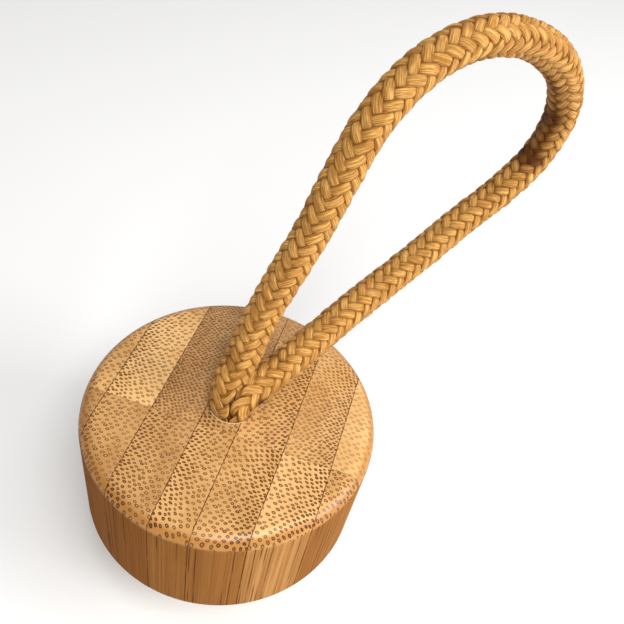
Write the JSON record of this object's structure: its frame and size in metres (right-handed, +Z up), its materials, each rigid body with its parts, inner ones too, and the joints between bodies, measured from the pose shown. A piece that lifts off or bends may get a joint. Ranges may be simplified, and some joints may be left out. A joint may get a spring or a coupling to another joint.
{
  "type": "body dry brush",
  "caption": "Small round body dry brush: laminated bamboo block with a rounded top edge, short bristle tufts underneath and a braided cord loop through its middle.",
  "frame": {"origin": "centre of the bristle tips' plane, on the axis of the round block", "axes": "+Z up along the axis of the block, out of its top face; the cord loop leans towards +X and +Y"},
  "size_m": [0.0648, 0.0663, 0.0864],
  "materials": {
    "bamboo_pale": "end-grain bamboo, honey tan, satin lacquer",
    "bamboo_mid": "end-grain bamboo, mid brown, satin lacquer",
    "bamboo_dark": "end-grain bamboo, darker and dense, satin lacquer",
    "bristle_plate": "turned beech, matt oil",
    "bristles": "natural plant fibre, matt",
    "staple_wire": "drawn flat wire",
    "cord": "braided golden mustard cord, soft satin yarn"
  },
  "bodies": {
    "brush": {"strip_front_1": "bamboo_mid", "strip_front_2": "bamboo_mid", "strip_front_3": "bamboo_pale", "strip_front_4": "bamboo_pale", "strip_front_5": "bamboo_pale", "strip_front_6": "bamboo_pale", "strip_front_7": "bamboo_mid", "strip_middle_1": "bamboo_pale", "strip_middle_2": "bamboo_pale", "strip_middle_3": "bamboo_dark", "strip_middle_4": "bamboo_mid", "strip_middle_5": "bamboo_pale", "strip_middle_6": "bamboo_dark", "strip_middle_7": "bamboo_pale", "strip_back_1": "bamboo_mid", "strip_back_2": "bamboo_dark", "strip_back_3": "bamboo_pale", "strip_back_4": "bamboo_mid", "strip_back_5": "bamboo_mid", "bristle_plate": "bristle_plate", "tuft_centre": "bristles", "tufts_inner": "bristles", "tufts_middle": "bristles", "tufts_outer": "bristles", "staple_centre": "staple_wire", "staples_inner": "staple_wire", "staples_middle": "staple_wire", "staples_outer": "staple_wire"},
    "cord_anchor": {"cord_neck": "cord", "cord_knot": "cord"},
    "cord_loop": {"cord_loop": "cord"}
  },
  "joints": [
    {"name": "loop_swivel", "type": "hinge", "parent": "brush", "child": "cord_anchor", "pos_m": [0, 0, 0.032], "axis": [0, 0, 1], "continuous": true},
    {"name": "loop_fold", "type": "hinge", "parent": "cord_anchor", "child": "cord_loop", "pos_m": [0, 0, 0.036], "axis": [0.7071, -0.7071, 0], "range_deg": [-5, 100]}
  ]
}
